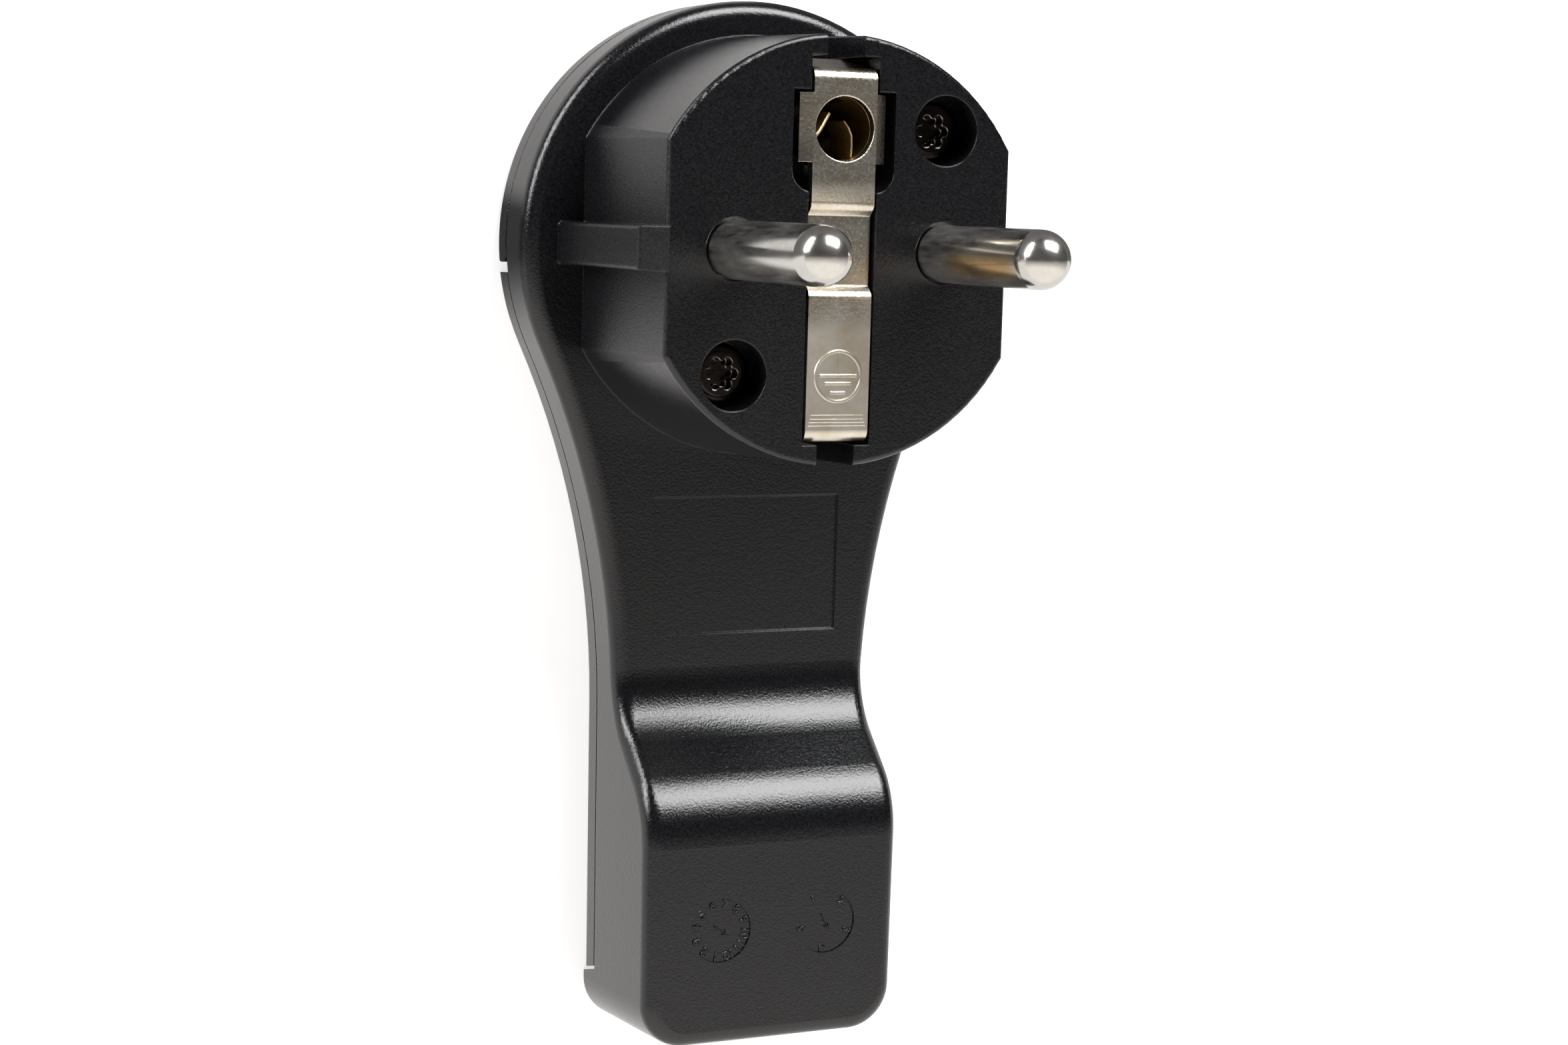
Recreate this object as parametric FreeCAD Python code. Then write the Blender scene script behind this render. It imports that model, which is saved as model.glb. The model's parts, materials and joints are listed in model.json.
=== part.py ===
"""Flat earthed mains plug, taken to pieces as on a bench.

A thin body carries a round plug head at its top and a thicker cable block at
its lower end. The plug lies on its back with the pins upwards: +Z runs along
the pins, +Y from the cable block to the head, +X to the right. The origin is on
the flat back, under the axis of the head. All sizes are in millimetres.
"""
import FreeCAD, Part
import math
import os

from FreeCAD import Vector

# The pins and the head, which the common plug standard fixes
PIN_R = 2.4
PIN_LENGTH = 19.0
PIN_X = 9.5
PIN_NECK_R = 2.2
PIN_NECK_RISE = 0.05
PIN_GAP = 0.2
HEAD_HEIGHT = 18.0
HEAD_R_FACE = 17.85
HEAD_R_BASE = 18.4
FLAT_X_FACE = 15.55
FLAT_X_BASE = 16.0
RIB_X_FACE = 18.0
RIB_X_BASE = 18.4
RIB_HALF = 1.8

# The body seen from the side: back, seam, neck, cable block and face
SEAM_Z = 2.8
NECK_Z = 7.5
BLOCK_Z = 15.7
FACE_Z = NECK_Z + HEAD_HEIGHT
WALL = 1.8

# The body seen from the front: round flange, drawn-in neck, straight block
FLANGE_R = 21.5
NECK_HALF = 12.2
BLOCK_TAPER = math.radians(0.5)
NECK_ARC_Y = -42.0
NECK_ARC_R = (NECK_ARC_Y ** 2 + NECK_HALF ** 2 - FLANGE_R ** 2) / (2 * (FLANGE_R - NECK_HALF))
BOTTOM_Y = -71.4
BOTTOM_Y_FRONT = -70.0
CORNER_R = 4.0
EDGE_R = 1.4

# The S-shaped step from the neck up to the block
STEP_TOP_Y = -37.6
STEP_R = 8.0
STEP_ANGLE = math.radians(48.0)

# The joint between the back cover and the wrapped end of the front shell
COVER_END_SEAM = -65.7
COVER_END_BACK = -66.5
END_SLOT = 0.3
END_WALL = 3.6

# The fold-out pull handle round the back of the head
HANDLE_R_OUT = FLANGE_R
HANDLE_R_IN = 16.2
HANDLE_Z = 2.6
HINGE_Y = -0.6
HINGE_Z = HANDLE_Z / 2
HINGE_PIN_R = 0.9
HINGE_BORE_R = 0.95
HINGE_PIN_LENGTH = 3.2
HINGE_BORE_LENGTH = 2.4
HANDLE_EDGE_R = 0.9
COVER_DISC_R = 15.7
COVER_TOP_Y = -2.8
SCOOP_R = 9.0
SCOOP_HALF = 6.0
SCOOP_DEPTH = 1.9

# The back cover from inside
COVER_GAP = 0.03
COVER_EDGE_R = 0.7
SEAM_LINE_HEIGHT = 0.25
SEAM_LINE_DEPTH = 0.5
COVER_FLOOR = 2.2
LIP_HEIGHT = 1.2
LIP_GAP = 0.15
LIP_T = 1.0
LIP_END = 1.0

# The head from inside
HEAD_BORE_R = 16.05
HEAD_BORE_FLAT = 13.7
FACE_PLATE = 2.5
PLATE_BACK_Z = FACE_Z - FACE_PLATE

# The earth strip and the channel that it lies in
STRIP_HALF = 2.86
STRIP_T = 0.8
STRIP_Z = FACE_Z + 0.1
STRIP_SINK = 0.7
STRIP_END_Y = 15.1
STRIP_FOOT_Y = 15.8
STRIP_BEND_R = 1.0
ARM_Y = 15.95
ARM_FOOT_Z = 9.3
SINK_TOP_Y = 4.1
SINK_BOTTOM_Y = -3.9
JOG_ANGLE = math.radians(45.0)
JOG_OUTER_R = 0.9
JOG_INNER_R = 0.2
CHANNEL_HALF = 3.1
EARTH_Y = 10.1
EARTH_HOLE_R = 2.65
EARTH_RIM_R = 0.1
WING_TOP_Y = 12.98
WING_BOTTOM_Y = 7.3
WING_WIDTH = 1.22
WING_BEND = math.radians(30.0)
POCKET_HALF = 4.65
POCKET_BOTTOM_Y = 4.9
POCKET_TOP_Y = 13.2
SIDE_SLOT_HALF = 1.72
SIDE_SLOT_END_Z = 10.5

# The contact carrier and the terminals
CARRIER_Z0 = 17.0
CARRIER_Z1 = 21.4
SHOULDER_R = 3.6
BARREL_R = 3.2
BARREL_END_Z = 12.0
TERMINAL_THREAD_R = 1.5
TERMINAL_THREAD_DEPTH = 6.0
TERMINAL_HEAD_R = 2.6
TERMINAL_HEAD_T = 1.8
TERMINAL_SHANK = 5.0
EARTH_SHANK = 3.2
CARRIER_GAP = 0.2
WINDOW_R = 2.4
WINDOW_INWARDS = 0.9
WASHER_T = 0.8
WASHER_HALF = 3.0
EARTH_TAB_Y = -10.4

# The spring socket behind the earth hole
SLEEVE_PLATE_T = 0.6
SLEEVE_COLLAR = 2.4
SLEEVE_R = 3.0
SLEEVE_RIM = 0.12
SLEEVE_HOLE_R = 3.4
LEAF_ROOT = 1.6
LEAF_WAIST = 7.0
LEAF_END = 12.5
LEAF_SWEEP = 130.0
LEAF_STARTS = (295.0, 475.0)

# The two case screws, at opposite corners of the face
CASE_SCREW_X = 9.4
CASE_SCREW_Y = 10.25
CASE_HOLE_R = 2.93
CASE_SEAT_Z = 21.0
CASE_HEAD_R = 2.6
CASE_HEAD_T = 1.9
CASE_SHANK_R = 1.4
CASE_TIP_Z = 8.0
BOSS_END_Z = 18.8
BOSS_R = 4.3
POST_R = 2.8
POST_GAP = 0.2
CASE_SHANK_GAP = 0.3
LOBE_RING_R = 1.05
LOBE_R = 0.42
LOBE_DEPTH = 1.2
INSERT_R = 2.1
INSERT_Z = 9.5

# The cable clamp and the cable inlet in the block
CLAMP_X = 6.7
CLAMP_Y = -60.0
CLAMP_BAR_Z = 5.5
CLAMP_BAR_T = 2.0
CLAMP_SHANK_R = 1.25
CLAMP_SHANK = 6.5
CLAMP_HEAD_R = 2.3
CLAMP_HEAD_T = 1.7
CLAMP_POST_R = 2.4
CLAMP_HOLE_END_Z = 12.4
CLAMP_BAR_HALF_X = 9.9
CLAMP_BAR_HALF_Y = 2.6
CLAMP_BAR_CORNER_R = 1.6
INLET_R = 4.3
INLET_FLARE = 1.2
INLET_Z = 9.0
INLET_FLARE_Y = -70.1

# The shallow field on the neck and the two mould date marks on the block
FIELD_HALF = 8.95
FIELD_TOP_Y = -22.3
FIELD_BOTTOM_Y = -34.6
FIELD_DEPTH = 0.25
DATE_X = 5.05
DATE_Y = -59.7
DATE_R = 2.85
DATE_DEPTH = 0.15

FAR = 60.0
Z_AXIS = Vector(0, 0, 1)
X_AXIS = Vector(1, 0, 0)


def xy(u, v, w):
    """Point of a drawing seen from the front."""
    return Vector(u, v, w)


def yz(u, v, w):
    """Point of a drawing seen from the side."""
    return Vector(w, u, v)


def xz(u, v, w):
    """Point of a drawing seen from below."""
    return Vector(u, w, v)


def drawn(view, level, legs):
    """Face inside a closed path; a leg of two points is an arc through the first."""
    edges = []
    last = view(*legs[0], level)
    for leg in legs[1:] + [legs[0]]:
        if isinstance(leg[0], tuple):
            end = view(*leg[1], level)
            edges.append(Part.Arc(last, view(*leg[0], level), end).toShape())
        else:
            end = view(*leg, level)
            if end.isEqual(last, 1e-7):
                continue
            edges.append(Part.LineSegment(last, end).toShape())
        last = end
    return Part.Face(Part.Wire(edges))


def slab(legs, z0, z1):
    """Front drawing raised from z0 to z1."""
    return drawn(xy, z0, legs).extrude(Vector(0, 0, z1 - z0))


def side_slab(legs, x0, x1):
    """Side drawing carried across from x0 to x1."""
    return drawn(yz, x0, legs).extrude(Vector(x1 - x0, 0, 0))


def box(x0, x1, y0, y1, z0, z1):
    """Block between two corners."""
    return Part.makeBox(x1 - x0, y1 - y0, z1 - z0, Vector(x0, y0, z0))


def rod(x, y, z0, z1, radius):
    """Upright cylinder."""
    return Part.makeCylinder(radius, z1 - z0, Vector(x, y, z0))


def ring(x, y, z0, z1, inner, outer):
    """Upright tube."""
    return rod(x, y, z0, z1, outer).cut(rod(x, y, z0 - 1, z1 + 1, inner))


def fused(shapes):
    """One solid from several that touch."""
    return shapes[0].fuse(shapes[1:]).removeSplitter()


def edges_where(shape, test):
    """Edges whose end and middle points all pass the test."""
    found = []
    for edge in shape.Edges:
        middle = edge.valueAt((edge.FirstParameter + edge.LastParameter) / 2)
        points = [vertex.Point for vertex in edge.Vertexes] + [middle]
        if all(test(point) for point in points):
            found.append(edge)
    return found


def rounded(shape, radius, test):
    """Shape with the edges that pass the test rounded over."""
    return shape.makeFillet(radius, edges_where(shape, test))


def body_outline(inset, bottom_y):
    """Round flange, drawn-in neck and slightly tapered block, moved inwards by inset."""
    centre_x = NECK_HALF + NECK_ARC_R
    reach = math.hypot(centre_x, NECK_ARC_Y)
    radius = FLANGE_R - inset
    touch_x = radius * centre_x / reach
    touch_y = radius * NECK_ARC_Y / reach
    turn = math.atan2(NECK_ARC_Y, centre_x) / 2
    arc_r = NECK_ARC_R + inset
    middle_x = centre_x - arc_r * math.cos(turn)
    middle_y = NECK_ARC_Y - arc_r * math.sin(turn)
    side_x = centre_x - arc_r * math.cos(BLOCK_TAPER)
    side_y = NECK_ARC_Y + arc_r * math.sin(BLOCK_TAPER)
    end_x = side_x - (side_y - bottom_y) * math.tan(BLOCK_TAPER)
    return [
        (end_x, bottom_y),
        (side_x, side_y),
        ((middle_x, middle_y), (touch_x, touch_y)),
        ((0.0, radius), (-touch_x, touch_y)),
        ((-middle_x, middle_y), (-side_x, side_y)),
        (-end_x, bottom_y),
    ]


def front_profile(inset, back, end_back_y, end_front_y):
    """Side view under the front surface, from the flange over the step to the block."""
    low = NECK_Z - inset
    high = BLOCK_Z - inset
    sine = math.sin(STEP_ANGLE)
    cosine = math.cos(STEP_ANGLE)
    ramp = (BLOCK_Z - NECK_Z - 2 * STEP_R * (1 - cosine)) / sine
    hollow = (STEP_TOP_Y, NECK_Z + STEP_R)
    crest = (STEP_TOP_Y - 2 * STEP_R * sine - ramp * cosine, BLOCK_Z - STEP_R)
    outer = STEP_R + inset
    inner = STEP_R - inset
    half_turn = STEP_ANGLE / 2

    def on(centre, radius, angle, way):
        return (centre[0] - way * radius * math.sin(angle), centre[1] - way * radius * math.cos(angle))

    return [
        (FAR, back),
        (FAR, low),
        (STEP_TOP_Y, low),
        (on(hollow, outer, half_turn, 1), on(hollow, outer, STEP_ANGLE, 1)),
        on(crest, inner, STEP_ANGLE, -1),
        (on(crest, inner, half_turn, -1), (crest[0], high)),
        (end_front_y, high),
        (end_back_y, back),
    ]


def shell_outside():
    """Outer form of the flange, neck and block, with its end wrapped to the back."""
    plan = slab(body_outline(0.0, -FAR * 2), 0.0, BLOCK_Z + 1)
    body = plan.common(side_slab(front_profile(0.0, 0.0, BOTTOM_Y, BOTTOM_Y_FRONT), -FAR, FAR))
    body = rounded(body, CORNER_R, lambda p: p.y < BOTTOM_Y_FRONT + 0.01 and abs(p.x) > NECK_HALF - 1)

    def on_front_rim(p):
        return p.z > NECK_Z - 0.01 and not (abs(p.x) < 8 and BOTTOM_Y_FRONT + 0.2 < p.y < FLANGE_R - 5)

    body = rounded(body, EDGE_R, on_front_rim)
    rest = side_slab([
        (FAR, -1.0),
        (FAR, SEAM_Z),
        (COVER_END_SEAM - END_SLOT, SEAM_Z),
        (COVER_END_BACK - END_SLOT, 0.0),
        (COVER_END_BACK - END_SLOT, -1.0),
    ], -FAR, FAR)
    return body.cut(rest)


def head_outside():
    """Drafted round head with a flat and a guide rib on each side."""
    head = Part.makeCone(HEAD_R_BASE, HEAD_R_FACE, HEAD_HEIGHT, Vector(0, 0, NECK_Z))
    ribs = []
    for side in (-1, 1):
        flat = drawn(xz, -FAR, [
            (side * FLAT_X_BASE, NECK_Z),
            (side * FLAT_X_FACE, FACE_Z),
            (side * FAR, FACE_Z),
            (side * FAR, NECK_Z),
        ]).extrude(Vector(0, 2 * FAR, 0))
        head = head.cut(flat)
        rib = drawn(xz, -RIB_HALF, [
            (side * (FLAT_X_FACE - 2), NECK_Z - 1),
            (side * RIB_X_BASE, NECK_Z - 1),
            (side * RIB_X_FACE, FACE_Z),
            (side * (FLAT_X_FACE - 2), FACE_Z),
        ]).extrude(Vector(0, 2 * RIB_HALF, 0))
        ribs.append(rounded(rib, 0.3, lambda p: abs(p.x) > RIB_X_FACE - 0.1))
    head = rounded(head, 0.4, lambda p: p.z > FACE_Z - 0.01)
    return fused([head] + ribs)


def strip_channel():
    """Everything that is cut from the face for the earth strip and its socket."""
    floor = STRIP_Z - STRIP_T
    cuts = [
        box(-CHANNEL_HALF, CHANNEL_HALF, -HEAD_BORE_R, HEAD_BORE_R, floor, FACE_Z + 1),
        box(-CHANNEL_HALF, CHANNEL_HALF, SINK_BOTTOM_Y, SINK_TOP_Y, floor - STRIP_SINK, FACE_Z),
    ]
    pocket = box(-POCKET_HALF, POCKET_HALF, POCKET_BOTTOM_Y, POCKET_TOP_Y, PLATE_BACK_Z - 1, FACE_Z + 1)
    cuts.append(rounded(pocket, 1.8, lambda p: p.y < POCKET_BOTTOM_Y + 0.01 and abs(p.x) > 4))
    for side in (-1, 1):
        arm_y = sorted((side * 13.9, side * HEAD_BORE_R))
        cuts.append(box(-CHANNEL_HALF, CHANNEL_HALF, *arm_y, ARM_FOOT_Z - 0.5, FACE_Z))
        slot_y = sorted((side * 14.5, side * (HEAD_R_BASE + 1)))
        cuts.append(box(-SIDE_SLOT_HALF, SIDE_SLOT_HALF, *slot_y, SIDE_SLOT_END_Z, FACE_Z + 1))
    return cuts


def case_screw_places():
    """Name and place of the two case screws."""
    return (("upper", CASE_SCREW_X, CASE_SCREW_Y), ("lower", -CASE_SCREW_X, -CASE_SCREW_Y))


def front_shell():
    """Moulded head, flange, neck and cable block, open at the back."""
    shell = fused([shell_outside(), head_outside()])
    end_inside = BOTTOM_Y + END_WALL
    hollow = slab(body_outline(WALL, -FAR * 2), SEAM_Z, BLOCK_Z)
    hollow = hollow.common(side_slab(front_profile(WALL, SEAM_Z, end_inside, end_inside), -FAR, FAR))
    bore = rod(0, 0, -1.0, PLATE_BACK_Z, HEAD_BORE_R)
    bore = bore.common(box(-HEAD_BORE_FLAT, HEAD_BORE_FLAT, -FAR, FAR, -1.0, PLATE_BACK_Z))
    shell = shell.cut([hollow, bore])

    outside = rod(0, 0, SEAM_Z, FACE_Z, HEAD_R_FACE - 0.5)
    added = []
    cuts = strip_channel()
    for _, x, y in case_screw_places():
        added.append(rod(x, y, BOSS_END_Z, PLATE_BACK_Z + 0.5, BOSS_R).common(outside))
        cuts.append(rod(x, y, CASE_SEAT_Z, FACE_Z + 1, CASE_HOLE_R))
        cuts.append(rod(x, y, BOSS_END_Z - 1, CASE_SEAT_Z + 1, CASE_SHANK_R + CASE_SHANK_GAP))
        cuts.append(rod(x, y, SEAM_Z - 1, BOSS_END_Z, POST_R + POST_GAP))
    for side in (-1, 1):
        cuts.append(rod(side * PIN_X, 0, PLATE_BACK_Z - 1, FACE_Z + 1, PIN_R + PIN_GAP))
        post = rod(side * CLAMP_X, CLAMP_Y, CLAMP_BAR_Z + CLAMP_BAR_T, BLOCK_Z - WALL + 0.3, CLAMP_POST_R)
        added.append(post)
        cuts.append(rod(side * CLAMP_X, CLAMP_Y, CLAMP_BAR_Z, CLAMP_HOLE_END_Z, CLAMP_SHANK_R))
        cuts.append(rod(side * DATE_X, DATE_Y, BLOCK_Z - DATE_DEPTH, BLOCK_Z + 1, DATE_R))
    inlet = Part.makeCylinder(INLET_R, 12.0, Vector(0, end_inside + 1, INLET_Z), Vector(0, -1, 0))
    flare_start = Vector(0, INLET_FLARE_Y, INLET_Z)
    flare = Part.makeCone(INLET_R, INLET_R + INLET_FLARE, INLET_FLARE, flare_start, Vector(0, -1, 0))
    field = box(-FIELD_HALF, FIELD_HALF, FIELD_BOTTOM_Y, FIELD_TOP_Y, NECK_Z - FIELD_DEPTH, NECK_Z + 1)
    return fused([shell] + added).cut(cuts + [inlet, flare, field])


def rear_cover():
    """Flat back with its locating lip, the disc inside the handle and two screw posts."""
    plan = slab(body_outline(COVER_GAP, -FAR * 2), 0.0, SEAM_Z)
    plate = plan.common(side_slab([
        (COVER_TOP_Y, 0.0),
        (COVER_TOP_Y, SEAM_Z),
        (COVER_END_SEAM, SEAM_Z),
        (COVER_END_BACK, 0.0),
    ], -FAR, FAR))
    plate = rounded(plate, COVER_EDGE_R, lambda p: p.z < 0.01)
    line_z = SEAM_Z - SEAM_LINE_HEIGHT
    line = slab(body_outline(-1.0, -FAR * 2), line_z, SEAM_Z + 1)
    line = line.cut(slab(body_outline(SEAM_LINE_DEPTH, -FAR * 2 - 1), line_z - 1, SEAM_Z + 2))
    plate = fused([plate.cut(line), rod(0, 0, 0.0, SEAM_Z, COVER_DISC_R)])

    lip_z = SEAM_Z + LIP_HEIGHT
    lip_y = COVER_TOP_Y - LIP_END
    outside = WALL + LIP_GAP
    lip = slab(body_outline(outside, COVER_END_SEAM + LIP_END), SEAM_Z - 0.5, lip_z)
    lip = lip.cut(slab(body_outline(outside + LIP_T, COVER_END_SEAM + LIP_END + LIP_T), 0.0, lip_z + 1))
    lip = lip.common(box(-FAR, FAR, -FAR * 2, lip_y, 0.0, lip_z))

    inside = outside + LIP_T + 0.45
    pocket = slab(body_outline(inside, COVER_END_SEAM + LIP_END + 2 * LIP_T), COVER_FLOOR, SEAM_Z + 0.2)
    pocket = pocket.common(box(-FAR, FAR, -FAR * 2, lip_y - 0.2, 0.0, lip_z))
    disc_pocket = rod(0, 0, COVER_FLOOR, SEAM_Z + 0.2, COVER_DISC_R - 2.6)

    scoop_start = Vector(-SCOOP_HALF, COVER_DISC_R - 0.5, SCOOP_DEPTH - SCOOP_R)
    scoop = Part.makeCylinder(SCOOP_R, 2 * SCOOP_HALF, scoop_start, X_AXIS)
    hinge_bores = []
    for side in (-1, 1):
        bore_start = Vector(side * (COVER_DISC_R + 0.4), HINGE_Y, HINGE_Z)
        hinge_bores.append(Part.makeCylinder(HINGE_BORE_R, HINGE_BORE_LENGTH, bore_start, X_AXIS * -side))
    cover = fused([plate, lip]).cut([pocket, disc_pocket, scoop] + hinge_bores)

    posts = []
    bores = []
    for _, x, y in case_screw_places():
        foot = rod(x, y, 1.0, SEAM_Z + 0.1, POST_R).common(rod(0, 0, 0.0, SEAM_Z + 0.1, COVER_DISC_R))
        posts += [foot, rod(x, y, SEAM_Z + 0.1, CARRIER_Z0, POST_R)]
        bores += [rod(x, y, INSERT_Z, CARRIER_Z0 + 1, INSERT_R), rod(x, y, 6.0, INSERT_Z + 1, 1.6)]
    return fused([cover] + posts).cut(bores)


def pull_handle():
    """Half ring behind the flange, with rounded ends and an inward pivot at each end."""
    whole_ring = ring(0, 0, 0.0, HANDLE_Z, HANDLE_R_IN, HANDLE_R_OUT)
    whole_ring = rounded(
        whole_ring, HANDLE_EDGE_R, lambda p: p.z < 0.01 and math.hypot(p.x, p.y) > HANDLE_R_OUT - 0.1)
    parts = [whole_ring.common(side_slab([
        (FAR, 0.0),
        (FAR, HANDLE_Z),
        (HINGE_Y, HANDLE_Z),
        ((HINGE_Y - HANDLE_Z / 2, HINGE_Z), (HINGE_Y, 0.0)),
    ], -FAR, FAR))]
    for side in (-1, 1):
        pivot_start = Vector(side * (HANDLE_R_IN + 1.0), HINGE_Y, HINGE_Z)
        parts.append(Part.makeCylinder(HINGE_PIN_R, HINGE_PIN_LENGTH, pivot_start, X_AXIS * -side))
    return fused(parts)


def contact_carrier():
    """Moulded insert that locks the pins behind the face and guides the earth sleeve."""
    below = CARRIER_Z0 - 1
    above = CARRIER_Z1 + 1
    body = rod(0, 0, CARRIER_Z0, CARRIER_Z1, HEAD_BORE_R - CARRIER_GAP)
    half = HEAD_BORE_FLAT - CARRIER_GAP
    body = body.common(box(-half, half, -FAR, FAR, CARRIER_Z0, CARRIER_Z1))
    cuts = [
        rod(0, EARTH_Y, below, above, SLEEVE_HOLE_R),
        box(-4.0, 4.0, -13.0, -6.5, below, CARRIER_Z1 - 1.4),
    ]
    for side in (-1, 1):
        cuts.append(rod(side * PIN_X, 0, below, above, BARREL_R + 0.05))
        arm_y = sorted((side * 14.9, side * FAR))
        cuts.append(box(-CHANNEL_HALF, CHANNEL_HALF, *arm_y, below, above))
    for _, x, y in case_screw_places():
        cuts.append(rod(x, y, BOSS_END_Z, above, BOSS_R + CARRIER_GAP))
        cuts.append(rod(x, y, below, BOSS_END_Z + 1, CASE_SHANK_R + CASE_SHANK_GAP))
        cuts.append(rod(-x * WINDOW_INWARDS, y * WINDOW_INWARDS, below, above, WINDOW_R))
    return body.cut(cuts)


def contact_pin(side):
    """Turned pin: round nose, neck in the face, shoulder behind it and a threaded end."""
    x = side * PIN_X
    tip_z = FACE_Z + PIN_LENGTH
    neck_z = FACE_Z + PIN_NECK_RISE
    pin = fused([
        rod(x, 0, PLATE_BACK_Z, neck_z, PIN_NECK_R),
        rod(x, 0, neck_z, tip_z - PIN_R, PIN_R),
        Part.makeSphere(PIN_R, Vector(x, 0, tip_z - PIN_R)),
        rod(x, 0, CARRIER_Z1, PLATE_BACK_Z, SHOULDER_R),
        rod(x, 0, BARREL_END_Z, CARRIER_Z1, BARREL_R),
    ])
    return pin.cut(rod(x, 0, BARREL_END_Z - 1, BARREL_END_Z + TERMINAL_THREAD_DEPTH, TERMINAL_THREAD_R))


def slotted_screw(x, y, seat_z, head_r, head_t, shank_r, shank_length):
    """Screw seen from the back: cheese head below its seat, shank upwards."""
    head = rod(x, y, seat_z - head_t, seat_z, head_r)
    head = rounded(head, 0.3, lambda p: p.z < seat_z - head_t + 0.01)
    slot_z = seat_z - head_t
    head = head.cut(box(x - 0.35, x + 0.35, y - head_r - 1, y + head_r + 1, slot_z - 1, slot_z + 0.8))
    return fused([head, rod(x, y, seat_z, seat_z + shank_length, shank_r)])


def terminal_washer(x, y, top_z):
    """Square pressed washer with its rims turned towards the wire."""
    half = WASHER_HALF
    plate = box(x - half, x + half, y - half, y + half, top_z - WASHER_T, top_z)
    plate = rounded(plate, 0.8, lambda p: abs(abs(p.x - x) - half) < 0.01 and abs(abs(p.y - y) - half) < 0.01)
    return plate.cut(rod(x, y, top_z - WASHER_T - 1, top_z + 1, TERMINAL_THREAD_R + 0.15))


def jog(start, end, first_r, second_r):
    """S-shaped bend from one level of the strip to the other, round at both ends."""
    way_y = math.copysign(1, end[0] - start[0])
    way_z = math.copysign(1, end[1] - start[1])

    def leaving(angle):
        return (start[0] + way_y * first_r * math.sin(angle), start[1] + way_z * first_r * (1 - math.cos(angle)))

    def arriving(angle):
        return (end[0] - way_y * second_r * math.sin(angle), end[1] - way_z * second_r * (1 - math.cos(angle)))

    return [
        start,
        (leaving(JOG_ANGLE / 2), leaving(JOG_ANGLE)),
        arriving(JOG_ANGLE),
        (arriving(JOG_ANGLE / 2), end),
    ]


def strip_profile():
    """Side view of the sheet over the face, sunk a little between the pins."""
    top = STRIP_Z
    low = top - STRIP_SINK
    under = top - STRIP_T
    low_under = low - STRIP_T
    rounds = JOG_OUTER_R + JOG_INNER_R
    slope = (STRIP_SINK - rounds * (1 - math.cos(JOG_ANGLE))) / math.sin(JOG_ANGLE)
    length = rounds * math.sin(JOG_ANGLE) + slope * math.cos(JOG_ANGLE)
    lower_y = SINK_BOTTOM_Y + 0.03
    upper_y = SINK_TOP_Y - 0.03
    tight = JOG_OUTER_R - STRIP_T
    wide = JOG_INNER_R + STRIP_T
    legs = [(-STRIP_FOOT_Y + STRIP_BEND_R, top)]
    legs += jog((lower_y, top), (lower_y + length, low), JOG_OUTER_R, JOG_INNER_R)
    legs += jog((upper_y - length, low), (upper_y, top), JOG_INNER_R, JOG_OUTER_R)
    legs += [(STRIP_END_Y - STRIP_BEND_R, top), (STRIP_END_Y - STRIP_BEND_R, under)]
    legs += jog((upper_y, under), (upper_y - length, low_under), tight, wide)
    legs += jog((lower_y + length, low_under), (lower_y, under), wide, tight)
    legs += [(-STRIP_FOOT_Y + STRIP_BEND_R, under)]
    return legs


def earth_arm(side, end_z):
    """One arm of the strip: bent in at the face, flared out, then straight back."""
    t = STRIP_T
    bend = STRIP_BEND_R
    y_bend = STRIP_END_Y if side > 0 else STRIP_FOOT_Y
    lean_z = STRIP_Z - bend - 0.4
    flare_z = lean_z - 3.2
    corner = bend * (1 - math.sqrt(0.5))
    inner = bend - t
    inner_corner = t + inner * (1 - math.sqrt(0.5))
    legs = [
        (y_bend - bend, STRIP_Z),
        ((y_bend - corner, STRIP_Z - corner), (y_bend, STRIP_Z - bend)),
        (y_bend, lean_z),
        (ARM_Y, flare_z),
        (ARM_Y, end_z),
        (ARM_Y - t, end_z),
        (ARM_Y - t, flare_z - 0.15),
        (y_bend - t, lean_z - 0.15),
        (y_bend - t, STRIP_Z - bend),
        ((y_bend - inner_corner, STRIP_Z - inner_corner), (y_bend - bend, STRIP_Z - t)),
    ]
    mirrored = []
    for leg in legs:
        if isinstance(leg[0], tuple):
            mirrored.append(tuple((side * y, z) for y, z in leg))
        else:
            mirrored.append((side * leg[0], leg[1]))
    return side_slab(mirrored, -STRIP_HALF, STRIP_HALF)


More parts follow.
